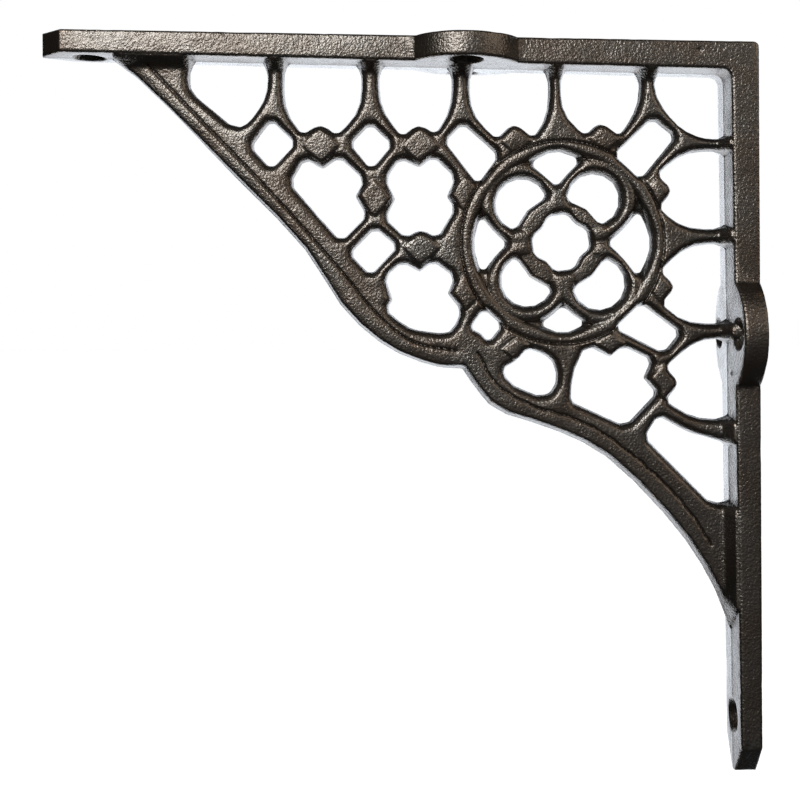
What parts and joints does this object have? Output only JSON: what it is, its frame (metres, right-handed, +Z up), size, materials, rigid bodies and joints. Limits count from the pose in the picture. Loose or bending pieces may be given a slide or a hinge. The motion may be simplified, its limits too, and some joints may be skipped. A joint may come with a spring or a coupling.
{
  "type": "ornate cast iron shelf bracket",
  "caption": "Right-angled cast iron shelf bracket: a shelf arm and a wall leg with round screw ears, joined by pierced tracery with a roundel and a scrolled lower rim.",
  "frame": {"origin": "on the wall face of the leg, midway between the two screw holes of its ear", "axes": "+X into the wall, +Z up, so the shelf arm runs out along -X; +Y across the straps"},
  "size_m": [0.1962, 0.0324, 0.2046],
  "materials": {
    "iron": "dark brown lacquered sand-cast iron with bright burnished specks"
  },
  "bodies": {
    "root": {"bracket": "iron"}
  },
  "joints": []
}
